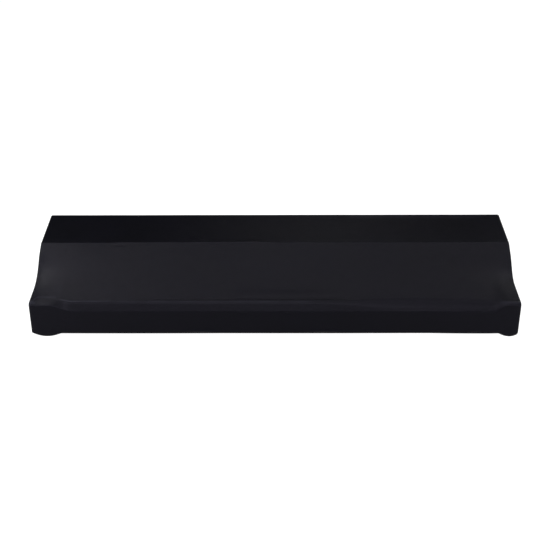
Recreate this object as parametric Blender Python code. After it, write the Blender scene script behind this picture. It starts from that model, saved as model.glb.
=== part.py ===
"""Fitted dust cover for a stage keyboard, in the shape it takes when it is worn.

Three pieces of black stretch knit: one long panel from hem to hem over the front, the slope, the top
and the back, and one panel over each end. The hem of all three turns under along the whole bottom.

X runs along the cover, Y from the front face to the back, Z up. The shape is worked out with Y = 0 on
the front face and Z = 0 on the hem, and then stands in a frame whose origin is under the top cloth.
"""

import math
from collections import namedtuple

import bmesh
import bpy
from mathutils import Vector

LENGTH = 1.292
DEPTH = 0.390
CLOTH = 0.0015
EDGE_RADIUS = 0.005
HEM_WIDTH = 0.048
SEAM_GAP = 0.0003

# The origin lies under the top cloth, halfway along, this far behind the front face
MOUNT_Y = 0.304

# How far from each end the cloth keeps the end's own section. Over the end blocks the front edge stands
# high, then falls to the key line. On the slope the hollow of the end fades with this decay length.
BLOCK_WIDTH = 0.050
BLOCK_FADE = {"left": 0.034, "right": 0.022}
HOLLOW_DECAY = 0.068

# Corners of the cross-section, from the front hem over the top to the rear hem. Each has its place at
# the ends and in the middle, or at the right and the left end where its rule is "climb", how long its
# bend is to either side of the corner, the steps that the bend takes, the rule by which it changes
# along the cover, and where rows lie between it and the next corner.
Corner = namedtuple("Corner", "name end middle bend steps rule rows_after")
CORNERS = (
    Corner("hem front", (0, 0), (0, 0), EDGE_RADIUS, 3, "same", (0.10, 0.28, 0.62)),
    Corner("front edge", (0, 0.088), (0, 0.068), 0.003, 2, "block", ()),
    Corner("key edge", (0.007, 0.0945), (0.012, 0.0906), 0.003, 2, "block", (0.04, 0.12, 0.2, 0.3, 0.55, 0.8)),
    Corner("foot of slope", (0.124, 0.0945), (0.112, 0.1224), 0.026, 4, "hollow", ()),
    Corner("brow of slope", (0.179, 0.1363), (0.175, 0.1424), 0.016, 3, "hollow", ()),
    Corner("ridge", (0.2205, 0.1569), (0.2205, 0.1569), 0.002, 2, "same", (0.3, 0.58, 0.76, 0.9)),
    Corner("rear edge", (DEPTH, 0.1566), (DEPTH, 0.1550), 0.006, 3, "climb", (0.38, 0.72, 0.9)),
    Corner("hem rear", (DEPTH, 0), (DEPTH, 0), EDGE_RADIUS, 3, "same", ()),
)
HEM_ROWS = (0.014, 0.024, 0.034, 0.041)

# Distances of the columns from each end, after the rounding, up to the middle
COLUMNS = (0.012, 0.024, 0.036, 0.048, 0.060, 0.076, 0.100, 0.140)
COLUMNS += (0.190, 0.250, 0.320, 0.390, 0.460, 0.520, 0.580)
ROUNDING_STEPS = 3
END_ROWS = (1.0, 0.75, 0.5, 0.25, 0.1, 0.0)

# The cloth bags under the four bottom corners, more widely and less tightly on the left
Pouch = namedtuple("Pouch", "x half_width drop power at_rear")
POUCHES = (
    Pouch(0.620, 0.027, 0.0102, 1.1, False),
    Pouch(-0.606, 0.037, 0.0095, 1.3, False),
    Pouch(0.618, 0.030, 0.0098, 1.3, True),
    Pouch(-0.614, 0.033, 0.0096, 1.3, True),
)
POUCH_FLAT = 0.030
POUCH_RISE = 0.030

# Slack that lies along the upper cloth, as soft rolls and troughs
Fold = namedtuple("Fold", "name x y half_length half_width height")
FOLDS = (
    Fold("roll on the key edge", -0.125, 0.012, 0.430, 0.008, 0.0008),
    Fold("trough over the keys", -0.010, 0.024, 0.170, 0.011, -0.0015),
    Fold("slack on the ridge", -0.135, 0.219, 0.105, 0.012, 0.0012),
    Fold("belly of the slope", 0.270, 0.110, 0.260, 0.090, -0.0015),
)
FOLDS_ABOVE = 0.050

KNIT_BLACK = (0.012, 0.012, 0.014, 1)

# A point of the cross-section: its place, its outward normal, and its distance in from the outer faces
# where it lies in the hem that is turned under, or None above the hem
Row = namedtuple("Row", "y z normal_y normal_z hem")
Column = namedtuple("Column", "x turn")
Skin = namedtuple("Skin", "outer inner")


def clear_scene():
    for obj in list(bpy.data.objects):
        bpy.data.objects.remove(obj, do_unlink=True)


def smooth(value):
    """0 up to 0, 1 from 1, with a soft rise between."""
    value = min(max(value, 0), 1)
    return value * value * (3 - 2 * value)


def share_of_end(rule, x):
    """How much of the end's own section a corner keeps at this place along the cover."""
    from_end = max(LENGTH / 2 - EDGE_RADIUS - abs(x), 0)
    if rule == "block":
        fade = BLOCK_FADE["left" if x < 0 else "right"]
        return 1 - smooth((from_end - BLOCK_WIDTH) / fade)
    if rule == "hollow":
        return math.exp(-from_end / HOLLOW_DECAY)
    if rule == "climb":
        return 0.5 + x / LENGTH
    return 1


def corner_places(x):
    """The corners of the cross-section here, with the two ends of the hem before and after them."""
    places = [(HEM_WIDTH, 0)]
    for corner in CORNERS:
        share = share_of_end(corner.rule, x)
        places.append([share * e + (1 - share) * m for e, m in zip(corner.end, corner.middle)])
    places.append((DEPTH - HEM_WIDTH, 0))
    return places


def cross_section(x):
    """The rows of the long panel at this place, from the front hem over the top to the rear hem."""
    places = corner_places(x)
    headings = [math.atan2(b[1] - a[1], b[0] - a[0]) for a, b in zip(places, places[1:])]
    headings[-1] = -math.pi
    rows = [Row(HEM_WIDTH, 0, 0, -1, HEM_WIDTH)]
    rows += [Row(inward, 0, 0, -1, inward) for inward in reversed(HEM_ROWS)]
    for index, corner in enumerate(CORNERS):
        place, before, after = places[index + 1], headings[index], headings[index + 1]
        bend = before - after
        radius = corner.bend / math.tan(bend / 2) if abs(bend) > 1e-4 else 0
        start_y = place[0] - corner.bend * math.cos(before)
        start_z = place[1] - corner.bend * math.sin(before)
        in_hem = EDGE_RADIUS if corner.name.startswith("hem") else None
        for step in range(corner.steps + 1):
            heading = before - bend * step / corner.steps
            y = start_y + radius * (math.sin(before) - math.sin(heading))
            z = start_z + radius * (math.cos(heading) - math.cos(before))
            if not radius:
                y += 2 * corner.bend * step / corner.steps * math.cos(before)
                z += 2 * corner.bend * step / corner.steps * math.sin(before)
            rows.append(Row(y, z, -math.sin(heading), math.cos(heading), in_hem))
        if corner.rows_after:
            last, following = rows[-1], CORNERS[index + 1]
            end_y = places[index + 2][0] - following.bend * math.cos(after)
            end_z = places[index + 2][1] - following.bend * math.sin(after)
            for part in corner.rows_after:
                y = last.y + part * (end_y - last.y)
                z = last.z + part * (end_z - last.z)
                rows.append(Row(y, z, last.normal_y, last.normal_z, None))
    rows += [Row(DEPTH - inward, 0, 0, -1, inward) for inward in HEM_ROWS]
    rows.append(Row(DEPTH - HEM_WIDTH, 0, 0, -1, HEM_WIDTH))
    return rows


def bagging(point):
    """How far the cloth hangs down at this point, in the pouches under the corners."""
    drop = 0
    for pouch in POUCHES:
        across = (point.x - pouch.x) / pouch.half_width
        if abs(across) >= 1:
            continue
        inward = DEPTH - point.y if pouch.at_rear else point.y
        along = 1 - smooth((inward - POUCH_FLAT) / (HEM_WIDTH - POUCH_FLAT))
        drop = max(drop, pouch.drop * (1 - across * across) ** pouch.power * along)
    return drop * (1 - smooth(point.z / POUCH_RISE))


def folding(point):
    """How far the folds lift the upper cloth at this point."""
    if point.z < FOLDS_ABOVE:
        return 0
    lift = 0
    for fold in FOLDS:
        along = (point.x - fold.x) / fold.half_length
        across = (point.y - fold.y) / fold.half_width
        if abs(along) < 1 and abs(across) < 1:
            lift += fold.height * ((1 - along * along) * (1 - across * across)) ** 2
    return lift


def skin(point, normal):
    """The cloth's outer and inner point here, with its folds and its pouches."""
    shift = Vector((0, 0, folding(point) - bagging(point)))
    return Skin(point + shift, point - CLOTH * normal + shift)


def long_panel_columns():
    """Columns from the left end face to the right one, turned round both end edges."""
    straight = [LENGTH / 2 - EDGE_RADIUS] + [LENGTH / 2 - d for d in COLUMNS]
    turns = [math.pi / 2 * step / ROUNDING_STEPS for step in range(1, ROUNDING_STEPS + 1)]
    right = [Column(x, 0) for x in reversed(straight)]
    right += [Column(LENGTH / 2 - EDGE_RADIUS, turn) for turn in turns]
    left = [Column(-column.x, column.turn) for column in reversed(right)]
    return left + [Column(0, 0)] + right


def long_panel_skin(column, row):
    """A point of the long panel. Its hem runs to a mitre at each corner."""
    side = 1 if column.x > 0 else -1
    inset = EDGE_RADIUS * (1 - math.cos(column.turn))
    outward = math.sin(column.turn)
    if row.hem is None:
        x = column.x + side * EDGE_RADIUS * outward
        point = Vector((x, row.y - inset * row.normal_y, row.z - inset * row.normal_z))
        normal = Vector((side * outward, 0, 0)) + math.cos(column.turn) * Vector(
            (0, row.normal_y, row.normal_z)
        )
        return skin(point, normal)
    level = abs(row.normal_y)
    mitre = (LENGTH / 2 - row.hem) / (LENGTH / 2 - EDGE_RADIUS)
    x = column.x * mitre + side * EDGE_RADIUS * outward * level
    point = Vector((x, row.y - inset * row.normal_y, row.z))
    normal = Vector((side * outward * level, math.cos(column.turn) * row.normal_y, row.normal_z))
    return skin(point, normal)


def end_panel_grid(side):
    """Rows of an end panel from its top seam down the end face and under to the hem's inner edge."""
    end_x = side * LENGTH / 2
    inset = EDGE_RADIUS + SEAM_GAP
    section = [row for row in cross_section(end_x) if row.hem is None]
    front_rows = len(CORNERS[0].rows_after)
    rear_rows = len(CORNERS[-2].rows_after)
    top_seam = section[front_rows : len(section) - rear_rows]
    heads = [(row.y - inset * row.normal_y, row.z - inset * row.normal_z) for row in top_seam]
    outward = Vector((side, 0, 0))
    grid = []
    for part in END_ROWS:
        heights = [(y, EDGE_RADIUS + part * (z - EDGE_RADIUS)) for y, z in heads]
        grid.append([skin(Vector((end_x, y, z)), outward) for y, z in heights])
    for step in range(1, CORNERS[0].steps + 1):
        turn = math.pi / 2 * step / CORNERS[0].steps
        normal = Vector((side * math.cos(turn), 0, -math.sin(turn)))
        x = side * (LENGTH / 2 - EDGE_RADIUS) + EDGE_RADIUS * normal.x
        z = EDGE_RADIUS + EDGE_RADIUS * normal.z
        grid.append([skin(Vector((x, y, z)), normal) for y, _ in heads])
    half = DEPTH / 2
    for inward in HEM_ROWS + (HEM_WIDTH,):
        mitre = (half - inward - SEAM_GAP * math.sqrt(2)) / (half - inset)
        x = side * (LENGTH / 2 - inward)
        places = [Vector((x, half + (y - half) * mitre, 0)) for y, _ in heads]
        grid.append([skin(place, Vector((0, 0, -1))) for place in places])
    return grid if side > 0 else [line[::-1] for line in grid]


def long_panel_grid():
    columns = long_panel_columns()
    sections = [cross_section(column.x) for column in columns]
    lines = [
        [long_panel_skin(column, row) for row in section]
        for column, section in zip(columns, sections)
    ]
    return lines


def cloth_material(name):
    material = bpy.data.materials.new(name)
    material.use_nodes = True
    shader = material.node_tree.nodes["Principled BSDF"]
    shader.inputs["Base Color"].default_value = KNIT_BLACK
    shader.inputs["Roughness"].default_value = 0.85
    shader.inputs["Metallic"].default_value = 0
    material.diffuse_color = KNIT_BLACK
    return material


def cloth_panel(name, grid, frame):
    """A closed sheet from a grid of skin points: its outer side, its inner side and its cut edges."""
    mesh = bmesh.new()
    outer = [[mesh.verts.new(point.outer) for point in line] for line in grid]
    inner = [[mesh.verts.new(point.inner) for point in line] for line in grid]
    last_line, last_point = len(grid) - 1, len(grid[0]) - 1
    for i in range(last_line):
        for j in range(last_point):
            corners = (i, j), (i, j + 1), (i + 1, j + 1), (i + 1, j)
            mesh.faces.new([outer[a][b] for a, b in corners])
            mesh.faces.new([inner[a][b] for a, b in reversed(corners)])
    rim = [(0, j) for j in range(last_point)]
    rim += [(i, last_point) for i in range(last_line)]
    rim += [(last_line, j) for j in range(last_point, 0, -1)]
    rim += [(i, 0) for i in range(last_line, 0, -1)]
    for (a, b), (c, d) in zip(rim, rim[1:] + rim[:1]):
        mesh.faces.new([outer[c][d], outer[a][b], inner[a][b], inner[c][d]])
    bmesh.ops.remove_doubles(mesh, verts=mesh.verts, dist=1e-6)
    bmesh.ops.dissolve_degenerate(mesh, edges=mesh.edges, dist=1e-6)
    bmesh.ops.recalc_face_normals(mesh, faces=mesh.faces)
    data = bpy.data.meshes.new(name)
    mesh.to_mesh(data)
    mesh.free()
    data.shade_smooth()
    data.set_sharp_from_angle(angle=math.radians(40))
    data.materials.append(cloth_material(name))
    panel = bpy.data.objects.new(name, data)
    bpy.context.scene.collection.objects.link(panel)
    panel.parent = frame
    return panel


def under_top_height():
    """Height of the top cloth's underside over the mount."""
    ridge, rear = corner_places(0)[6:8]
    part = (MOUNT_Y - ridge[0]) / (rear[0] - ridge[0])
    return ridge[1] + part * (rear[1] - ridge[1]) - CLOTH


def build():
    clear_scene()
    frame = bpy.data.objects.new("cover_frame", None)
    frame.location = (0, -MOUNT_Y, -under_top_height())
    bpy.context.scene.collection.objects.link(frame)
    cloth_panel("main_panel", long_panel_grid(), frame)
    cloth_panel("end_panel_left", end_panel_grid(-1), frame)
    cloth_panel("end_panel_right", end_panel_grid(1), frame)


build()
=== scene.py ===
# A fitted dust cover for a stage keyboard, in black stretch knit, worn over an instrument that isn't shown.
# Metres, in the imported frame: X runs along the cover, Y from its front to its back, and Z up from the mount
# under the top cloth.
import math
from collections import namedtuple

import bmesh
import bpy
import numpy as np
from mathutils import Matrix, Vector, noise


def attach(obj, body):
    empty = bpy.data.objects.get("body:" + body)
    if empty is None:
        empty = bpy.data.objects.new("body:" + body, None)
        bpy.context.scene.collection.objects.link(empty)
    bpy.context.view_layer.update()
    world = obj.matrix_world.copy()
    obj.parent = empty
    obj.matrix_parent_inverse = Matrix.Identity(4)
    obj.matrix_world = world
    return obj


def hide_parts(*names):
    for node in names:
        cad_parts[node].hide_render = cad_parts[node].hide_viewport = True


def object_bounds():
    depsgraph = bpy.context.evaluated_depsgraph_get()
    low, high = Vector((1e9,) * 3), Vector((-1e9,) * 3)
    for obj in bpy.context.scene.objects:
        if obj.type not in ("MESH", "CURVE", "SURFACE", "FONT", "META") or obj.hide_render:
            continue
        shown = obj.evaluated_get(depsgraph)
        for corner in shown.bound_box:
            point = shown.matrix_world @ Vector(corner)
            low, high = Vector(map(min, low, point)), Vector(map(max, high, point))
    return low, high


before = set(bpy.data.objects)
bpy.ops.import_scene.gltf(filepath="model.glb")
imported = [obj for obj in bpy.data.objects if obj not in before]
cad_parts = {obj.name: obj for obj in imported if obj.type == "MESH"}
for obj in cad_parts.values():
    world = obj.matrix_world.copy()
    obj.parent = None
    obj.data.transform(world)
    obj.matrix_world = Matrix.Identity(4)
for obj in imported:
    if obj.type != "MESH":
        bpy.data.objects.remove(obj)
cad_low, cad_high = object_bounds()

# The long panel. One length of knit from hem to hem, over the front, the key line, the slope, the top and the
# back. It is cut to the instrument's outline and pulled tight, so it lies smooth but for the slack along the
# keys and the ridge. At both ends it turns round the corner and rolls down into the seam.
LENGTH = 1.292
DEPTH = 0.390
FRONT_Y = -0.304
HEM_Z = -0.154858
CLOTH = 0.001
# Radius of the turn at the ends and the hem, radius of the roll into the seam, and the cloth inside the seam
EDGE_RADIUS = 0.005
SEAM_ROLL = 0.0016
SEAM_ALLOWANCE = 0.006

# How far from each end the cloth keeps the end's own section. Over the blocks beside the keys the front edge
# stands high, and on the slope the hollow of the end fades with this decay length.
BLOCK_WIDTH = {"left": 0.050, "right": 0.030}
BLOCK_FADE = {"left": 0.058, "right": 0.034}
HOLLOW_DECAY = {"foot of slope": 0.080, "brow of slope": 0.070}
# At the foot of the slope the seam pulls harder: this share of the hollow fades within its own short length
HOLLOW_AT_SEAM = {"left": 0.42, "right": 0.12}
SEAM_DECAY = 0.018
# The left block's front edge is worn round: the deck there starts this much further back, from this far off
# the seam
WORN_EDGE = 0.018
WORN_EDGE_OVER = 0.016

# At the left the ridge is pulled a little lower, from here and over this length
LEFT_STRETCH_FROM = -0.420
LEFT_STRETCH_OVER = 0.045

# Towards the right the cloth rides over the key edge in a wider bend, from here and over this length
SLACK_KEYS_FROM = 0.120
SLACK_KEYS_OVER = 0.220

# Corners of the cross-section from the front hem to the rear one, with the bend to either side of each on the
# left and on the right, the steps of the bend, and the rows between it and the next corner. Each has two
# places, and the rule says where they hold. "block" and "hollow": at the ends and in the middle. "left": at
# the left and elsewhere. "climb": at the right end and at the left one. "same": the first place all along.
Corner = namedtuple("Corner", "name end middle bend bend_right steps rule rows_after")
CORNERS = (
    Corner("hem front", (0, 0), (0, 0), EDGE_RADIUS, EDGE_RADIUS, 6, "same", 17),
    Corner("front edge", (0, 0.088), (0, 0.068), 0.003, 0.004, 4, "block", 4),
    Corner("key edge", (0.007, 0.0945), (0.012, 0.0906), 0.0045, 0.018, 8, "block", 30),
    Corner("foot of slope", (0.126, 0.0947), (0.112, 0.1224), 0.047, 0.026, 8, "hollow", 3),
    Corner("brow of slope", (0.179, 0.1363), (0.175, 0.1424), 0.016, 0.016, 4, "hollow", 15),
    Corner("ridge", (0.2205, 0.1551), (0.2205, 0.1569), 0.002, 0.0035, 4, "left", 24),
    Corner("rear edge", (DEPTH, 0.1588), (DEPTH, 0.1564), 0.006, 0.006, 6, "climb", 8),
    Corner("hem rear", (DEPTH, 0), (DEPTH, 0), EDGE_RADIUS, EDGE_RADIUS, 4, "same", 0),
)
# A turn of less than this, in radians, is a straight run
STRAIGHT = 1e-4
HEM_WIDTH = 0.048
HEM_ROWS = 9
# How much the rows of a straight run bunch up towards its two ends, and the spacing of the columns
BUNCHING = 0.105
COLUMN_STEP = 0.0048
TURN_STEPS = 5
ROLL_STEPS = 4

# A row has its place in the section and the way it faces. In the hem it also has how far in from the face it
# lies.
Row = namedtuple("Row", "y z normal_y normal_z hem")
# A column has its place along the cover, the place whose section it follows, how far it lies inside that
# section, and how much it faces along the cover and across it.
Column = namedtuple("Column", "x base inset lean share")


def rise(value):
    """0 up to 0, 1 from 1, with a soft rise between."""
    value = np.clip(value, 0, 1)
    return value * value * (3 - 2 * value)


def bunched(count):
    """Shares from 0 to 1, both left out, that lie closer together near the two ends."""
    even = [(step + 1) / (count + 1) for step in range(count)]
    return [share - BUNCHING * math.sin(2 * math.pi * share) for share in even]


def end_share(corner, x):
    """How much of the corner's first place holds here, from 0 to 1, by its rule."""
    from_end = max(LENGTH / 2 - EDGE_RADIUS - abs(x), 0)
    side = "left" if x < 0 else "right"
    if corner.rule == "block":
        return float(1 - rise((from_end - BLOCK_WIDTH[side]) / BLOCK_FADE[side]))
    if corner.rule == "hollow":
        at_seam = HOLLOW_AT_SEAM[side] if corner.name == "foot of slope" else 0
        wide = (1 - at_seam) * math.exp(-from_end / HOLLOW_DECAY[corner.name])
        return wide + at_seam * math.exp(-from_end / SEAM_DECAY)
    if corner.rule == "climb":
        return 0.5 + x / LENGTH
    if corner.rule == "left":
        return float(rise((LEFT_STRETCH_FROM - x) / LEFT_STRETCH_OVER))
    return 1


def bend_of(corner, x):
    """How far the bend reaches to either side of the corner here. Over the blocks it stays tight."""
    slack = float(rise((x - SLACK_KEYS_FROM) / SLACK_KEYS_OVER))
    if corner.rule == "block":
        slack *= 1 - end_share(corner, x)
    return corner.bend + slack * (corner.bend_right - corner.bend)


def cross_section(x):
    """The rows at this place along the cover, and the row at the middle of each corner."""
    places = [(HEM_WIDTH, 0)]
    for corner in CORNERS:
        share = end_share(corner, x)
        place = [share * e + (1 - share) * m for e, m in zip(corner.end, corner.middle)]
        if corner.name == "key edge" and x < 0:
            place[0] += WORN_EDGE * share * float(rise((LENGTH / 2 - EDGE_RADIUS + x) / WORN_EDGE_OVER))
        places.append(place)
    places.append((DEPTH - HEM_WIDTH, 0))
    headings = [math.atan2(b[1] - a[1], b[0] - a[0]) for a, b in zip(places, places[1:])]
    headings[-1] = -math.pi
    under = np.linspace(HEM_WIDTH, EDGE_RADIUS, HEM_ROWS + 1)[:-1]
    rows = [Row(inward, 0, 0, -1, inward) for inward in under]
    middles = []
    for index, corner in enumerate(CORNERS):
        place, before, after = places[index + 1], headings[index], headings[index + 1]
        half_bend, turn = bend_of(corner, x), before - after
        radius = half_bend / math.tan(turn / 2) if abs(turn) > STRAIGHT else 0
        start_y = place[0] - half_bend * math.cos(before)
        start_z = place[1] - half_bend * math.sin(before)
        in_hem = EDGE_RADIUS if corner.name.startswith("hem") else None
        middles.append(len(rows) + corner.steps // 2)
        for step in range(corner.steps + 1):
            heading = before - turn * step / corner.steps
            if radius:
                y = start_y + radius * (math.sin(before) - math.sin(heading))
                z = start_z + radius * (math.cos(heading) - math.cos(before))
            else:
                y = start_y + 2 * half_bend * step / corner.steps * math.cos(before)
                z = start_z + 2 * half_bend * step / corner.steps * math.sin(before)
            rows.append(Row(y, z, -math.sin(heading), math.cos(heading), in_hem))
        if corner.rows_after:
            last, next_bend = rows[-1], bend_of(CORNERS[index + 1], x)
            end_y = places[index + 2][0] - next_bend * math.cos(after)
            end_z = places[index + 2][1] - next_bend * math.sin(after)
            for part in bunched(corner.rows_after):
                y, z = last.y + part * (end_y - last.y), last.z + part * (end_z - last.z)
                rows.append(Row(y, z, last.normal_y, last.normal_z, None))
    rows += [Row(DEPTH - inward, 0, 0, -1, inward) for inward in under[::-1]]
    return rows, middles


def long_panel_columns():
    """From seam to seam: down into the seam, round the end edge, along the cover, and the same again."""
    flat_end = LENGTH / 2 - EDGE_RADIUS
    count = round(flat_end / COLUMN_STEP)
    half = [Column(flat_end * step / count, flat_end * step / count, 0, 0, 1) for step in range(count + 1)]
    for step in range(1, TURN_STEPS + 1):
        turn = math.pi / 2 * step / TURN_STEPS
        x = flat_end + EDGE_RADIUS * math.sin(turn)
        half.append(Column(x, flat_end, EDGE_RADIUS * (1 - math.cos(turn)), math.sin(turn), math.cos(turn)))
    for step in range(1, ROLL_STEPS + 1):
        turn = math.pi / 2 * step / ROLL_STEPS
        x = LENGTH / 2 - SEAM_ROLL * (1 - math.cos(turn))
        inset = EDGE_RADIUS + SEAM_ROLL * math.sin(turn)
        half.append(Column(x, flat_end, inset, math.cos(turn), -math.sin(turn)))
    inner = LENGTH / 2 - SEAM_ROLL - SEAM_ALLOWANCE
    half.append(Column(inner, flat_end, EDGE_RADIUS + SEAM_ROLL, 0, -1))
    mirrored = [Column(-c.x, -c.base, c.inset, -c.lean, c.share) for c in reversed(half[1:])]
    return mirrored + half


# The four bottom corners bag out below the hem, where the cloth has more length than the corner takes up, and
# the front hem sags a little between them. The left and the right flank of each bag are given apart.
Pouch = namedtuple("Pouch", "x left right drop power at_rear")
POUCHES = (
    Pouch(0.6235, 0.031, 0.026, 0.0104, 1.1, False),
    Pouch(-0.606, 0.038, 0.040, 0.0097, 1.2, False),
    Pouch(0.618, 0.030, 0.030, 0.0098, 1.3, True),
    Pouch(-0.614, 0.033, 0.033, 0.0096, 1.3, True),
    Pouch(0.552, 0.140, 0.060, 0.0014, 1.0, False),
    Pouch(-0.400, 0.260, 0.320, 0.0010, 1.0, False),
    Pouch(0.030, 0.300, 0.340, 0.0005, 1.0, False),
)
# How far in under the hem a bag keeps its full drop, and how far up the face it begins
POUCH_FLAT = 0.030
POUCH_RISE = 0.030


def bagging(x, y, z):
    """How far the cloth hangs down here, in the pouches under the corners."""
    drop = np.zeros_like(x)
    for pouch in POUCHES:
        across = np.clip((x - pouch.x) / np.where(x < pouch.x, pouch.left, pouch.right), -1, 1)
        inward = DEPTH - y if pouch.at_rear else y
        along = 1 - rise((inward - POUCH_FLAT) / (HEM_WIDTH - POUCH_FLAT))
        drop = np.maximum(drop, pouch.drop * (1 - across**2) ** pouch.power * along)
    return drop * (1 - rise(z / POUCH_RISE))


# Folds and creases, each from a corner of the section: its place along the cover, how far past the corner it
# lies, half its length and width, its height, below 0 for a trough, how much it turns from the cover's
# length, in degrees, and how far its ends bow back.
Fold = namedtuple("Fold", "corner x past half_length half_width height turn bow")
FOLDS = (
    # Rolls that stand up along the key edge, with shallow troughs behind them
    Fold("key edge", 0.020, 0.026, 0.220, 0.022, -0.0013, 0, 0),
    Fold("key edge", -0.240, 0.006, 0.230, 0.004, 0.0007, 0, 0),
    Fold("key edge", -0.075, 0.006, 0.100, 0.004, 0.0015, 0, 0),
    Fold("key edge", -0.070, 0.0110, 0.066, 0.0038, -0.0012, 2, 0),
    Fold("key edge", 0.090, 0.007, 0.150, 0.005, 0.0012, 0, 0),
    Fold("key edge", 0.080, 0.0130, 0.150, 0.004, -0.0007, 0, 0),
    Fold("key edge", -0.500, 0.005, 0.075, 0.004, 0.0005, 0, 0),
    # Slack gathered along the ridge: a tight bead at the left, then slanting rolls and troughs, and a long
    # low roll
    Fold("ridge", -0.556, 0.011, 0.130, 0.005, 0.0006, 0, 0),
    Fold("ridge", -0.212, 0.016, 0.030, 0.009, 0.0014, -28, 0.004),
    Fold("ridge", -0.228, 0.034, 0.022, 0.006, -0.0008, -20, 0.002),
    Fold("ridge", -0.178, -0.003, 0.034, 0.005, 0.0007, -12, 0),
    Fold("ridge", -0.060, 0.004, 0.050, 0.006, 0.0010, -4, 0),
    Fold("ridge", -0.062, 0.013, 0.036, 0.005, -0.0009, -3, 0),
    Fold("ridge", -0.135, 0.002, 0.130, 0.012, 0.0008, 0, 0),
    # Short nicks on the slope
    Fold("ridge", -0.425, -0.011, 0.022, 0.0042, -0.0012, 0, 0),
    Fold("ridge", 0.008, -0.043, 0.010, 0.004, -0.0006, 8, 0),
    Fold("ridge", -0.568, -0.026, 0.016, 0.0045, -0.0006, 84, 0),
    # Belly of the slope, where the cloth hangs a little between the keys and the brow
    Fold("foot of slope", 0.270, 0.000, 0.260, 0.095, -0.0015, 0, 0),
    # The top sags a little before the rear edge
    Fold("rear edge", 0.165, -0.027, 0.250, 0.010, -0.0005, 0, 0),
    Fold("rear edge", 0.588, -0.030, 0.032, 0.008, -0.0005, 0, 0),
    Fold("rear edge", -0.530, -0.028, 0.022, 0.008, -0.0006, 0, 0),
    # Two dimples under the front edge, and a low roll along it on the right
    Fold("front edge", -0.079, -0.0045, 0.016, 0.004, -0.0014, 0, 0),
    Fold("front edge", 0.033, -0.0045, 0.014, 0.004, -0.0014, 0, 0),
    Fold("front edge", 0.400, 0.002, 0.170, 0.004, 0.0005, 0, 0),
    # Low rolls along the bottom of the front, where the hem pulls
    Fold("hem front", -0.200, 0.0095, 0.056, 0.006, 0.0021, 0, 0.003),
    Fold("hem front", 0.135, 0.0090, 0.070, 0.0045, 0.0021, 0, 0),
    Fold("hem front", 0.250, 0.0065, 0.030, 0.004, 0.0019, 0, 0.001),
    Fold("hem front", 0.436, 0.0065, 0.030, 0.004, 0.0019, 0, 0.001),
    Fold("hem front", 0.531, 0.0095, 0.022, 0.004, 0.0018, 0, 0),
    # Short creases that run up from the pouches
    Fold("hem front", -0.597, 0.011, 0.016, 0.004, 0.0014, 18, 0.002),
    Fold("hem front", -0.602, 0.018, 0.014, 0.004, -0.0010, 26, 0.002),
    Fold("hem front", -0.626, 0.013, 0.012, 0.004, 0.0012, -24, 0.002),
    Fold("hem front", -0.582, 0.008, 0.012, 0.003, -0.0009, 30, 0),
    Fold("hem front", 0.596, 0.013, 0.014, 0.004, 0.0013, 32, 0.002),
    Fold("hem front", 0.603, 0.019, 0.012, 0.003, -0.0010, 36, 0.002),
    Fold("hem front", 0.628, 0.014, 0.013, 0.004, 0.0012, -14, 0.002),
    Fold("hem front", 0.622, 0.022, 0.013, 0.004, -0.0009, -8, 0.002),
)
# Where the knit is painted paler, each from a corner of the section, with how pale, from 0 to 1. Along the
# edges and at the block corners the paler colour is rubbed fibres and painted highlight. The wider patches on
# the slope at the left end and on the top at the right are painted light.
RubAndSheen = namedtuple("RubAndSheen", "corner x past half_length half_width amount")
RUBS_AND_SHEENS = (
    RubAndSheen("front edge", 0.000, 0.000, 0.700, 0.004, 0.05),
    RubAndSheen("key edge", -0.500, 0.0035, 0.070, 0.004, 0.75),
    RubAndSheen("key edge", -0.170, 0.002, 0.280, 0.004, 0.35),
    # At the left block: rubbed fibres and a painted catch light on its corner, and a painted lit patch on the
    # slope above it
    RubAndSheen("key edge", -0.608, 0.006, 0.034, 0.007, 0.90),
    RubAndSheen("key edge", -0.606, 0.036, 0.044, 0.048, 0.20),
    RubAndSheen("front edge", -0.640, 0.009, 0.012, 0.008, 1.0),
    RubAndSheen("key edge", 0.625, 0.000, 0.034, 0.008, 0.50),
    RubAndSheen("ridge", 0.000, -0.001, 0.700, 0.004, 0.15),
    # Along the rear edge, rubbed fibres and a painted light line. On the top at the right, a painted lit
    # patch.
    RubAndSheen("rear edge", 0.250, -0.002, 0.420, 0.006, 0.35),
    RubAndSheen("rear edge", 0.400, -0.010, 0.200, 0.026, 0.35),
)
# The paler paint, rubbed fibres and painted highlight, comes and goes in patches of this length, by this much
# round its mean
RUB_AND_SHEEN_PATCHES = 0.045
RUB_AND_SHEEN_MEAN = 0.8
RUB_AND_SHEEN_SWING = 0.6
RUB_AND_SHEEN_SEED = 9
# Slow waves in the cloth: their height, and their lengths along the cover and round it
UNEVEN = 0.00025
UNEVEN_LONG = 0.110
UNEVEN_ROUND = 0.038


def fold_height(along, around, folds):
    """Height of the folds here. The second array has the distance past its own corner for each fold."""
    height = np.zeros_like(along)
    for fold, past in zip(folds, around):
        angle = math.radians(fold.turn)
        dx, ds = along - fold.x, past - fold.past
        a = (dx * math.cos(angle) + ds * math.sin(angle)) / fold.half_length
        c = (ds * math.cos(angle) - dx * math.sin(angle) - fold.bow * a**2) / fold.half_width
        inside = (np.abs(a) < 1) & (np.abs(c) < 1)
        height += np.where(inside, fold.height * ((1 - a**2) * (1 - c**2)) ** 2, 0)
    return height


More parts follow.
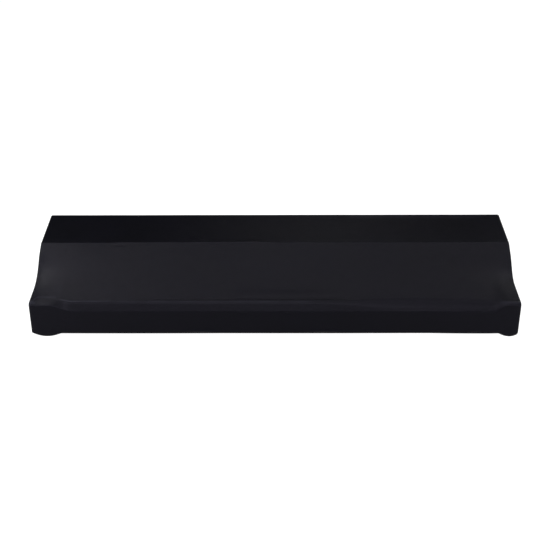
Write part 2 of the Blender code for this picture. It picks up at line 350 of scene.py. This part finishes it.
def rub_and_sheen_here(along, around):
    """How pale the cloth is painted, in patches along each line: rubbed fibres and painted highlight."""
    patchy = [
        RUB_AND_SHEEN_MEAN + RUB_AND_SHEEN_SWING * noise.noise(Vector((x / RUB_AND_SHEEN_PATCHES, 0, RUB_AND_SHEEN_SEED))) for x in along[:, 0]
    ]
    rubbed_and_sheen = np.zeros_like(along)
    for rub_and_sheen, past in zip(RUBS_AND_SHEENS, around):
        a = np.clip((along - rub_and_sheen.x) / rub_and_sheen.half_length, -1, 1)
        c = np.clip((past - rub_and_sheen.past) / rub_and_sheen.half_width, -1, 1)
        rubbed_and_sheen = np.maximum(rubbed_and_sheen, rub_and_sheen.amount * (1 - a**8) * (1 - c**2) ** 2)
    return np.clip(rubbed_and_sheen * np.array(patchy)[:, None], 0, 1)


def unevenness(points, seed):
    """Slow waves in the cloth, longer along the cover than round it."""
    places = points.reshape(-1, 3) / (UNEVEN_LONG, UNEVEN_ROUND, UNEVEN_ROUND) + (0, 0, seed)
    waves = [noise.noise(Vector(place)) for place in places]
    return UNEVEN * np.array(waves).reshape(points.shape[:2])


# The hem is folded under over a soft elastic: a stitched casing along its inner edge, gathered in waves
CASING_FROM = 0.027
CASING_PUFF = 0.0012
GATHER_WAVE = 0.026
GATHER_HEIGHT = 0.0011
# How fast the gathers grow. At 1 they would reach their full height only at the casing's inner edge.
GATHER_GROWTH = 1.4
# Two trains of gathers: the share of the height and of the wave, how far it wanders, and over what length
GATHERS = ((1, 1, 1.7, 0.061), (0.6, 0.62, 2.3, 0.083))


def hem_drop(along, inward):
    """How far the hem's underside stands below its plane: the casing's swell and its gathers."""
    into = np.clip((inward - CASING_FROM) / (HEM_WIDTH - CASING_FROM), 0, 1)
    waves = sum(
        height * np.sin(2 * math.pi * along / (wave * GATHER_WAVE) + wander * np.sin(along / over))
        for height, wave, wander, over in GATHERS
    )
    waves = waves / sum(height for height, *_ in GATHERS)
    return CASING_PUFF * np.sin(math.pi * into) + GATHER_HEIGHT * rise(into * GATHER_GROWTH) * waves


# Points of a sheet that lie closer than this are one, and edges that turn by less than this many degrees
# are shaded smooth
MERGE_WITHIN = 1e-6
SMOOTH_UNDER = 50


def cloth_sheet(name, points, along, around, rubbed_and_sheen_grid):
    """A sheet of knit through a grid of points, its wall inside. Its UV map is the flat cloth in metres."""
    mesh = bmesh.new()
    flat = mesh.loops.layers.uv.new("cloth")
    # Each point carries how pale the knit is painted there, for rubbed fibres and painted highlight
    rubbed_and_sheen = mesh.verts.layers.float.new("rub_and_sheen_paint")
    grid = [[mesh.verts.new(point) for point in line] for line in points]
    for line, amounts in zip(grid, rubbed_and_sheen_grid):
        for vert, amount in zip(line, amounts):
            vert[rubbed_and_sheen] = amount
    for i in range(len(grid) - 1):
        for j in range(len(grid[0]) - 1):
            corners = (i, j), (i + 1, j), (i + 1, j + 1), (i, j + 1)
            face = mesh.faces.new([grid[a][b] for a, b in corners])
            for loop, (a, b) in zip(face.loops, corners):
                loop[flat].uv = along[a][b], around[a][b]
    bmesh.ops.remove_doubles(mesh, verts=mesh.verts, dist=MERGE_WITHIN)
    bmesh.ops.dissolve_degenerate(mesh, edges=mesh.edges, dist=MERGE_WITHIN)
    data = bpy.data.meshes.new(name)
    mesh.to_mesh(data)
    mesh.free()
    sheet = bpy.data.objects.new(name, data)
    bpy.context.scene.collection.objects.link(sheet)
    bpy.ops.object.select_all(action="DESELECT")
    sheet.select_set(True)
    bpy.context.view_layer.objects.active = sheet
    wall = sheet.modifiers.new("wall", "SOLIDIFY")
    wall.thickness = CLOTH
    wall.offset = -1
    bpy.ops.object.modifier_apply(modifier=wall.name)
    bpy.ops.object.shade_smooth_by_angle(angle=math.radians(SMOOTH_UNDER))
    return sheet


def hex_colour(text):
    """An sRGB hex colour as linear RGBA."""
    parts = [int(text[i : i + 2], 16) / 255 for i in (1, 3, 5)]
    linear = [p / 12.92 if p <= 0.04045 else ((p + 0.055) / 1.055) ** 2.4 for p in parts]
    return (*linear, 1)


def add_node(tree, kind, settings=None, links=None):
    """One node, with its settings, by property or input, and with what feeds its inputs."""
    made = tree.nodes.new(kind)
    for name, value in (settings or {}).items():
        if isinstance(name, str) and hasattr(made, name):
            setattr(made, name, value)
        else:
            made.inputs[name].default_value = value
    for name, source in (links or {}).items():
        tree.links.new(source, made.inputs[name])
    return made


# Black polyester and elastane jersey, knitted smooth and piece dyed. Its face is a matt black with a soft
# satin where light meets it, fine upright columns of stitches, and a paler colour along its edges and in some
# patches, which is rubbed fibres and painted highlight.
# The real columns are 0.9 mm apart, and are drawn at 1.8 mm so that they show close up.
WALE = 0.0018
COURSE = 0.0015
# Height of the columns, how strongly they shade, and how high the loops stand in them
KNIT_HEIGHT = 0.0002
KNIT_SHADING = 0.25
LOOPS_IN_COLUMNS = 0.35
# The columns and the courses wander by up to this, in slow waves of about 1/14 m
WANDER = 0.004
WANDER_WAVES = 14
# The dye and the gloss are a little cloudy, in patches of about 1/9 m
CLOUDS = {"Scale": 9, "Detail": 4, "Roughness": 0.6}
KNIT_DARK = "#030304"
KNIT_LIGHT = "#040407"
# Paler knit, for rubbed fibres and painted highlight
KNIT_RUBBED_AND_SHEEN = "#141419"
# Drawn polyester gives a weak, slightly cool gloss, from satin to a little duller in the clouds
FIBRE_GLOSS = 0.05
FIBRE_GLOSS_TINT = "#ebe6ff"
SATIN = 0.32
DULLER = 0.40


def black_stretch_jersey():
    """The knit's material, on the flat cloth's UV map and on the sheet's paler paint, which is rubbed fibres
    and painted highlight.
    """
    material = bpy.data.materials.new("black_stretch_jersey")
    material.use_nodes = True
    tree = material.node_tree
    shader = tree.nodes["Principled BSDF"]
    cloth = add_node(tree, "ShaderNodeUVMap", {"uv_map": "cloth"}).outputs["UV"]
    drift = add_node(tree, "ShaderNodeTexNoise", {"Scale": WANDER_WAVES, "Detail": 2}, {"Vector": cloth})
    pulled = add_node(
        tree,
        "ShaderNodeVectorMath",
        {"operation": "MULTIPLY_ADD", 1: (WANDER, WANDER, 0)},
        {0: drift.outputs["Color"], 2: cloth},
    )
    # Each column is a round ridge, and the legs of its loops lean to both sides of it in a V
    axes = add_node(tree, "ShaderNodeSeparateXYZ", links={0: pulled.outputs[0]})
    wale = add_node(tree, "ShaderNodeMath", {"operation": "DIVIDE", 1: WALE}, {0: axes.outputs["X"]})
    to_edge = add_node(tree, "ShaderNodeMath", {"operation": "PINGPONG", 1: 0.5}, {0: wale.outputs[0]})
    course = add_node(tree, "ShaderNodeMath", {"operation": "DIVIDE", 1: COURSE}, {0: axes.outputs["Y"]})
    legs = add_node(
        tree, "ShaderNodeMath", {"operation": "ADD"}, {0: course.outputs[0], 1: to_edge.outputs[0]}
    )
    leg_turns = add_node(
        tree, "ShaderNodeMath", {"operation": "MULTIPLY", 1: 2 * math.pi}, {0: legs.outputs[0]}
    )
    loops = add_node(tree, "ShaderNodeMath", {"operation": "SINE"}, {0: leg_turns.outputs[0]})
    wale_turns = add_node(
        tree, "ShaderNodeMath", {"operation": "MULTIPLY", 1: 2 * math.pi}, {0: wale.outputs[0]}
    )
    ridges = add_node(tree, "ShaderNodeMath", {"operation": "COSINE"}, {0: wale_turns.outputs[0]})
    stitch = add_node(
        tree,
        "ShaderNodeMath",
        {"operation": "MULTIPLY_ADD", 1: LOOPS_IN_COLUMNS},
        {0: loops.outputs[0], 2: ridges.outputs[0]},
    )
    knit = add_node(
        tree,
        "ShaderNodeBump",
        {"Strength": KNIT_SHADING, "Distance": KNIT_HEIGHT},
        {"Height": stitch.outputs[0]},
    )
    cloudy = add_node(tree, "ShaderNodeTexNoise", CLOUDS, {"Vector": cloth})
    dyed = add_node(
        tree,
        "ShaderNodeMix",
        {"data_type": "RGBA", 6: hex_colour(KNIT_DARK), 7: hex_colour(KNIT_LIGHT)},
        {0: cloudy.outputs["Fac"]},
    )
    # Paler where the sheet carries it: rubbed fibres, and painted highlights and lit patches
    rub_and_sheen_paint = add_node(tree, "ShaderNodeAttribute", {"attribute_name": "rub_and_sheen_paint"})
    colour = add_node(
        tree,
        "ShaderNodeMix",
        {"data_type": "RGBA", 7: hex_colour(KNIT_RUBBED_AND_SHEEN)},
        {0: rub_and_sheen_paint.outputs["Fac"], 6: dyed.outputs[2]},
    )
    gloss = add_node(
        tree,
        "ShaderNodeMapRange",
        {"To Min": SATIN, "To Max": DULLER},
        {"Value": cloudy.outputs["Fac"]},
    )
    shader.inputs["Specular IOR Level"].default_value = FIBRE_GLOSS
    shader.inputs["Specular Tint"].default_value = hex_colour(FIBRE_GLOSS_TINT)
    tree.links.new(colour.outputs[2], shader.inputs["Base Color"])
    tree.links.new(gloss.outputs[0], shader.inputs["Roughness"])
    tree.links.new(knit.outputs[0], shader.inputs["Normal"])
    return material


jersey = black_stretch_jersey()

columns = long_panel_columns()
sections = [cross_section(column.base) for column in columns]
first_rows, middles = sections[0]
hem_inward = np.array([row.hem or 0 for row in first_rows])
in_hem = np.array([row.hem is not None for row in first_rows])
rows = np.array([[(r.y, r.z, r.normal_y, r.normal_z) for r in section] for section, _ in sections])
row_y, row_z, normal_y, normal_z = np.moveaxis(rows, 2, 0)


def column_values(field):
    """One value for each column, to go with all its rows."""
    return np.array([getattr(column, field) for column in columns])[:, None]


lean = column_values("lean")
share = column_values("share")
inset = column_values("inset")
base = column_values("base")
past_base = column_values("x") - base

# Under the hem the columns draw in towards the mitred corners, and the turn round the end flattens out
level = np.where(in_hem, np.abs(normal_y), 1)
mitre = np.where(in_hem, (LENGTH / 2 - hem_inward) / (LENGTH / 2 - EDGE_RADIUS), 1)
points = np.stack(
    [
        base * mitre + past_base * level,
        row_y - inset * normal_y,
        row_z - inset * normal_z * (~in_hem),
    ],
    axis=2,
)
normals = np.stack([lean * level, share * normal_y, np.where(in_hem, normal_z, share * normal_z)], axis=2)

# Girth is the distance round the section from the inner edge of the front hem. Folds and rubs lie by it.
steps = np.hypot(np.diff(row_y, axis=1), np.diff(row_z, axis=1))
girth = np.concatenate([np.zeros_like(row_y[:, :1]), np.cumsum(steps, axis=1)], axis=1)
corner_girth = {corner.name: girth[:, [middle]] for corner, middle in zip(CORNERS, middles)}
past_corners = [girth - corner_girth[fold.corner] for fold in FOLDS]
lift = fold_height(points[..., 0], past_corners, FOLDS) + unevenness(points, 0) * (~in_hem)
points += normals * (lift * np.clip(share, 0, 1) * level)[..., None]
points[..., 2] -= bagging(*np.moveaxis(points, 2, 0))
points[..., 2] -= np.where(in_hem, hem_drop(points[..., 0], hem_inward), 0) * (1 - level)
points += (0, FRONT_Y, HEM_Z)

column_steps = np.hypot(np.diff((base + past_base)[:, 0]), np.diff(inset[:, 0]))
along_edge = np.concatenate([[0], np.cumsum(column_steps)])
along = np.broadcast_to(along_edge[:, None], girth.shape)
# How pale the long panel is painted along its edges and in patches: rubbed fibres and painted highlight
rubbed_and_sheen = rub_and_sheen_here(points[..., 0], [girth - corner_girth[rub_and_sheen.corner] for rub_and_sheen in RUBS_AND_SHEENS])
long_panel = cloth_sheet("long_panel", points, along, girth, rubbed_and_sheen)
long_panel.data.materials.append(jersey)
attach(long_panel, "root")
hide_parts("main_panel")

# The hem stitching. Two rows of black polyester thread, sewn with a twin needle, close the casing along the
# inner edge of each hem. Each stitch is a bead half sunk in the knit.
STITCH_LENGTH = 0.0028
STITCH_STEP = 0.0035
STITCH_RADIUS = 0.00028
STITCH_ROWS = (CASING_FROM - 0.0035, CASING_FROM + 0.0005)
STITCH_MARGIN = 0.005
# Filament thread: a plain black with a low shine, and a fine slanting twist
THREAD_BLACK = "#111113"
THREAD_ROUGHNESS = 0.42
THREAD_GLOSS = 0.3
THREAD_TWIST = 0.0007
TWIST_WOBBLE = 0.6
TWIST_HEIGHT = 0.00006
TWIST_SHADING = 0.4


def black_polyester_thread():
    """The thread's material, with its twist on the piece's own coordinates."""
    material = bpy.data.materials.new("black_polyester_thread")
    material.use_nodes = True
    tree = material.node_tree
    shader = tree.nodes["Principled BSDF"]
    place = add_node(tree, "ShaderNodeTexCoord").outputs["Object"]
    twist = add_node(
        tree,
        "ShaderNodeTexWave",
        {"bands_direction": "DIAGONAL", "Scale": 0.5 / THREAD_TWIST, "Distortion": TWIST_WOBBLE},
        {"Vector": place},
    )
    relief = add_node(
        tree,
        "ShaderNodeBump",
        {"Strength": TWIST_SHADING, "Distance": TWIST_HEIGHT},
        {"Height": twist.outputs["Fac"]},
    )
    shader.inputs["Base Color"].default_value = hex_colour(THREAD_BLACK)
    shader.inputs["Roughness"].default_value = THREAD_ROUGHNESS
    shader.inputs["Specular IOR Level"].default_value = THREAD_GLOSS
    tree.links.new(relief.outputs[0], shader.inputs["Normal"])
    return material


def under_hem(x, y, along, inward):
    """The place of a point on the hem's underside."""
    drop = hem_drop(np.array(along), np.array(inward)) + bagging(np.array(x), np.array(y), np.array(0.0))
    return x, FRONT_Y + y, HEM_Z - float(drop)


def hem_stitching(name, run_length, row_place):
    """Both rows along one hem. row_place gives a point's place by its distance along the hem and inward."""
    bpy.ops.object.select_all(action="DESELECT")
    bpy.ops.mesh.primitive_uv_sphere_add(segments=6, ring_count=5, radius=STITCH_RADIUS)
    stitch = bpy.context.active_object
    stretch = STITCH_LENGTH / 2 / STITCH_RADIUS
    turned = Matrix.Rotation(math.pi / 2, 4, "Y")
    stitch.data.transform(Matrix.Diagonal((stretch, 1, 1, 1)) @ turned)
    sewn = []
    for inward in STITCH_ROWS:
        reach = run_length / 2 - inward - STITCH_MARGIN
        count = int(2 * reach / STITCH_STEP)
        stops = [-reach + 2 * reach * step / count for step in range(count + 1)]
        ends = [Vector(row_place(stop, inward)) for stop in stops]
        for start, end in zip(ends, ends[1:]):
            copy = bpy.data.objects.new(name, stitch.data.copy())
            heading = (end - start).to_track_quat("X", "Z")
            copy.matrix_world = Matrix.LocRotScale((start + end) / 2, heading, None)
            bpy.context.scene.collection.objects.link(copy)
            sewn.append(copy)
    bpy.data.objects.remove(stitch)
    for copy in sewn:
        copy.select_set(True)
    bpy.context.view_layer.objects.active = sewn[0]
    bpy.ops.object.join()
    bpy.ops.object.transform_apply(location=True, rotation=True, scale=True)
    bpy.ops.object.shade_smooth()
    stitching = bpy.context.active_object
    stitching.name = name
    stitching.data.materials.append(thread)
    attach(stitching, "root")
    return stitching


thread = black_polyester_thread()
for hem, at_rear in (("front", False), ("rear", True)):

    def row_place(x, inward):
        return under_hem(x, DEPTH - inward if at_rear else inward, x, inward)

    hem_stitching(hem + "_hem_stitching", LENGTH, row_place)

# The two end panels. Each closes one end from the seam down to the hem, and turns under with it to a mitre at
# the corners. It is sewn to the long panel with both edges rolled inwards, so the seam is a fine valley.
SEAM_SPACE = 0.0003
SEAM_INSET = EDGE_RADIUS + SEAM_ROLL + SEAM_SPACE
# The end is taut and so pulled in between its edges, most at the middle of its depth and height
END_PULL_IN = 0.0016
END_HEIGHT = 0.15
END_COLUMNS = 60
END_ROWS = 26
# The columns and rows next to the seam, in radii of its roll, and how far from it the even columns start
COLUMNS_IN_ROLL = (0, 0.12, 0.4, 1)
ROWS_IN_ROLL = (0, 0.12, 0.4, 1.1)
EVEN_FROM = 0.006
# Folds grow to their full height over this distance below the seam and above the hem's turn
FOLDS_BELOW_SEAM = 0.012
FOLDS_ABOVE_HEM = 0.010
END_TURN_STEPS = 4
END_SEED = 5
# Tension runs up from the bottom corners in soft diagonals. Y and Z take the places of the cover's length and
# the distance past a corner.
END_FOLDS = {
    -1: (
        Fold(None, 0.060, 0.045, 0.060, 0.014, 0.0010, 38, 0.003),
        Fold(None, 0.095, 0.030, 0.050, 0.012, -0.0008, 28, 0),
        Fold(None, 0.330, 0.050, 0.065, 0.015, 0.0011, -44, 0.004),
        Fold(None, 0.290, 0.034, 0.050, 0.012, -0.0008, -30, 0),
        Fold(None, 0.205, 0.120, 0.030, 0.008, 0.0006, 80, 0),
    ),
    1: (
        Fold(None, 0.052, 0.050, 0.055, 0.013, 0.0011, 42, 0.003),
        Fold(None, 0.110, 0.028, 0.060, 0.012, -0.0007, 22, 0),
        Fold(None, 0.340, 0.046, 0.060, 0.014, 0.0010, -40, 0.003),
        Fold(None, 0.270, 0.030, 0.055, 0.012, -0.0007, -24, 0),
        Fold(None, 0.190, 0.125, 0.026, 0.008, 0.0005, 95, 0),
    ),
}
# A run of the outline shorter than the root of this counts as a point
SHORTEST_RUN = 1e-12
# The lower part of the front face, in front of this depth and below this height, is no part of the ceiling
FACE_DEPTH = 0.001
FACE_TOP = 0.06
# The seam's height is found by halving a stretch from the hem's turn to above the whole outline, this often
ABOVE_OUTLINE = 0.16
HALVINGS = 30


def to_outline(y, z, outline):
    """Distance from each point to the end's outline, front, top and back."""
    start, end = outline[:-1], outline[1:]
    run = end - start
    point = np.stack([y, z], axis=-1)[..., None, :]
    share_of_run = ((point - start) * run).sum(-1) / np.maximum((run**2).sum(-1), SHORTEST_RUN)
    nearest = start + np.clip(share_of_run, 0, 1)[..., None] * run
    return np.linalg.norm(point - nearest, axis=-1).min(-1)


def ceiling(y, outline):
    """Height of the outline over this depth."""
    top = outline[np.argsort(outline[:, 0], kind="stable")]
    keep = (top[:, 1] > FACE_TOP) | (top[:, 0] > FACE_DEPTH)
    return np.interp(y, top[keep, 0], top[keep, 1])


def seam_height(y, outline):
    """The height at which the seam passes over this depth."""
    low, high = np.full_like(y, EDGE_RADIUS), np.full_like(y, ABOVE_OUTLINE)
    for _ in range(HALVINGS):
        middle = (low + high) / 2
        clear = to_outline(y, middle, outline) >= SEAM_INSET - MERGE_WITHIN
        inside = clear & (middle < ceiling(y, outline))
        low, high = np.where(inside, middle, low), np.where(inside, high, middle)
    return low


def end_face(side, depths, outline):
    """Points of an end's upright face, one row for each step down from the seam to the hem's turn."""
    heads = seam_height(depths, outline)
    close = SEAM_ROLL * np.array(ROWS_IN_ROLL)
    parts = np.linspace(0, 1, END_ROWS + 1)[1:]
    falls = heads - close[-1] - EDGE_RADIUS
    z = np.vstack([heads - step for step in close] + [heads - close[-1] - part * falls for part in parts])
    y = np.broadcast_to(depths, z.shape).copy()
    depth_in = to_outline(y, z, outline) - SEAM_INSET
    into_roll = np.clip(SEAM_ROLL - depth_in, 0, SEAM_ROLL)
    roll = SEAM_ROLL - np.sqrt(np.maximum(SEAM_ROLL**2 - into_roll**2, 0))
    taut = (1 - (2 * y / DEPTH - 1) ** 2) * np.clip(1 - (2 * z / END_HEIGHT - 1) ** 4, 0, 1)
    folds = END_FOLDS[side]
    waves = unevenness(np.stack([y, z, 0 * z], axis=2), END_SEED + side)
    lift = fold_height(y, [z] * len(folds), folds) + waves
    lift = lift * rise(depth_in / FOLDS_BELOW_SEAM) * rise((z - EDGE_RADIUS) / FOLDS_ABOVE_HEM)
    x = LENGTH / 2 - roll - END_PULL_IN * taut + lift
    return np.stack([x, y, z], axis=2)


def end_hem(depths, face_x):
    """The turn at the bottom of an end and the hem's underside, mitred, from outside inwards."""
    lines = []
    for step in range(1, END_TURN_STEPS + 1):
        turn = math.pi / 2 * step / END_TURN_STEPS
        bottom_z = np.full_like(depths, EDGE_RADIUS * (1 - math.sin(turn)))
        lines.append(np.stack([face_x - EDGE_RADIUS * (1 - math.cos(turn)), depths, bottom_z], axis=1))
    half = DEPTH / 2
    for inward in np.linspace(EDGE_RADIUS, HEM_WIDTH, HEM_ROWS + 1)[1:]:
        mitred = (half - inward - SEAM_SPACE * math.sqrt(2)) / (half - SEAM_INSET)
        hem_y = half + (depths - half) * mitred
        drop = hem_drop(hem_y, np.full_like(hem_y, inward))
        lines.append(np.stack([np.full_like(hem_y, LENGTH / 2 - inward), hem_y, -drop], axis=1))
    return np.array(lines)


def end_panel(side, name):
    """One end's panel and its stitching. side is -1 at the left and 1 at the right."""
    section, _ = cross_section(side * LENGTH / 2)
    outline = np.array([(row.y, row.z) for row in section if row.hem is None])
    outline = np.vstack([(0, 0), outline, (DEPTH, 0)])
    near = SEAM_INSET + SEAM_ROLL * np.array(COLUMNS_IN_ROLL)
    across = np.linspace(SEAM_INSET + EVEN_FROM, DEPTH - SEAM_INSET - EVEN_FROM, END_COLUMNS)
    depths = np.concatenate([near, across, DEPTH - near[::-1]])
    face = end_face(side, depths, outline)
    grid = np.concatenate([face, end_hem(depths, face[-1, :, 0])])
    # One more row above and one more column at each side turn in along the seam. The columns run out where
    # the cloth turns under.
    grid = np.pad(grid, ((1, 0), (1, 1), (0, 0)), mode="edge")
    above_hem = np.clip(grid[..., 2] / EDGE_RADIUS, 0, 1)
    grid[0, :, 0] -= SEAM_ALLOWANCE
    grid[1:, 0, 0] -= SEAM_ALLOWANCE * above_hem[1:, 0]
    grid[1:, -1, 0] -= SEAM_ALLOWANCE * above_hem[1:, -1]
    grid[..., 0] *= side
    grid[..., 2] -= bagging(*np.moveaxis(grid, 2, 0))
    down = np.linalg.norm(np.diff(grid, axis=0), axis=2)
    around = np.concatenate([np.zeros_like(down[:1]), np.cumsum(down, axis=0)], axis=0)
    along = grid[..., 1].copy()
    grid += (0, FRONT_Y, HEM_Z)
    if side > 0:
        grid, along, around = grid[:, ::-1], along[:, ::-1], around[:, ::-1]
    panel = cloth_sheet(name, grid, along, -around, np.zeros_like(along))
    panel.data.materials.append(jersey)
    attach(panel, "root")

    def row_place(along_hem, inward):
        y = DEPTH / 2 + along_hem
        return under_hem(side * (LENGTH / 2 - inward), y, y, inward)

    stitching = hem_stitching(name.replace("panel", "stitching"), DEPTH, row_place)
    return panel


left_panel = end_panel(-1, "left_end_panel")
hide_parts("end_panel_left")
right_panel = end_panel(1, "right_end_panel")
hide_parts("end_panel_right")

# The studio. A plain floor just under the pouches is lit from below, so it looks white. Its paint is kept
# grey, so that the lamps add little to that glow. Soft lamps stand all round, two of them low at the ends.
FLOOR_SIZE = 60
FLOOR_BELOW = 0.0002
FLOOR_PAINT = "#6c6c6c"
FLOOR_ROUGHNESS = 0.9
FLOOR_GLOSS = 0.1
FLOOR_GLOW = 0.98
bpy.ops.object.select_all(action="DESELECT")
bpy.ops.mesh.primitive_plane_add(size=FLOOR_SIZE, location=(0, 0, cad_low.z - FLOOR_BELOW))
floor = bpy.context.active_object
floor.name = "floor"
paint = bpy.data.materials.new("pale_floor_paint")
paint.use_nodes = True
coat = paint.node_tree.nodes["Principled BSDF"]
coat.inputs["Base Color"].default_value = hex_colour(FLOOR_PAINT)
coat.inputs["Roughness"].default_value = FLOOR_ROUGHNESS
coat.inputs["Specular IOR Level"].default_value = FLOOR_GLOSS
coat.inputs["Emission Color"].default_value = (1, 1, 1, 1)
coat.inputs["Emission Strength"].default_value = FLOOR_GLOW
floor.data.materials.append(paint)

# Each lamp is a soft box that faces the cover's middle and isn't seen itself
Lamp = namedtuple("Lamp", "name place width height watts")
LAMPS = (
    Lamp("over", (0, 0.6, 1.6), 1.2, 0.8, 10.7),
    Lamp("over_left", (-1.0, 0.35, 1.5), 0.8, 0.6, 9.2),
    Lamp("over_right", (0.9, 0.5, 1.5), 0.8, 0.8, 4),
    Lamp("over_front", (0, -0.6, 2.0), 2.4, 0.8, 26),
    Lamp("left", (-1.6, 0.0, 1.15), 1.1, 1.1, 14.6),
    Lamp("left_front", (-1.7, -0.9, 0.9), 0.8, 0.8, 38),
    Lamp("left_rear", (-1.75, 0.9, 1.3), 0.8, 0.8, 13.5),
    Lamp("right", (1.6, 0.1, 1.15), 1.1, 1.1, 16.5),
    Lamp("back", (0.25, 2.2, 1.42), 0.7, 0.7, 2.2),
    Lamp("far_right", (1.7, 1.5, 1.27), 0.9, 0.9, 6.2),
    Lamp("front", (0, -2.7, 1.75), 2.6, 1.4, 75),
    Lamp("front_high", (0, -1.5, 1.9), 2.4, 0.9, 22),
    Lamp("front_low_left", (-1.4, -2.9, 0.45), 1.2, 0.5, 10),
    Lamp("front_low_right", (1.4, -2.9, 0.45), 1.2, 0.5, 16),
    Lamp("low_left", (-1.25, -0.62, -0.06), 0.3, 0.15, 10),
    Lamp("low_right", (1.25, -0.62, -0.06), 0.3, 0.15, 12),
)
LAMPS_AIM = Vector((0, -0.1, -0.05))
for lamp in LAMPS:
    light = bpy.data.lights.new(lamp.name, "AREA")
    light.shape = "RECTANGLE"
    light.size = lamp.width
    light.size_y = lamp.height
    light.energy = lamp.watts
    place = Vector(lamp.place)
    stand = bpy.data.objects.new(lamp.name, light)
    stand.matrix_world = Matrix.LocRotScale(place, (place - LAMPS_AIM).to_track_quat("Z", "Y"), None)
    stand.visible_camera = False
    bpy.context.scene.collection.objects.link(stand)

# A dim, slightly cool dome fills what the lamps leave dark
DOME_COLOUR = (0.9, 0.92, 1, 1)
DOME_STRENGTH = 0.012
world = bpy.data.worlds.new("dim_dome")
bpy.context.scene.world = world
world.use_nodes = True
dome = world.node_tree.nodes["Background"]
dome.inputs["Color"].default_value = DOME_COLOUR
dome.inputs["Strength"].default_value = DOME_STRENGTH

# The camera stands in front of the cover's middle and looks down on it, as the photograph's did
CAMERA_PLACE = (0, -2.7982, 1.4715)
CAMERA_TILT = 59.9
CAMERA_LENS = 73.30
CAMERA_SENSOR = 36
camera_data = bpy.data.cameras.new("camera")
camera_data.lens = CAMERA_LENS
camera_data.sensor_width = CAMERA_SENSOR
camera = bpy.data.objects.new("camera", camera_data)
camera.location = CAMERA_PLACE
camera.rotation_euler = (math.radians(CAMERA_TILT), 0, 0)
bpy.context.scene.collection.objects.link(camera)
bpy.context.scene.camera = camera
bpy.context.scene.view_settings.view_transform = "Standard"
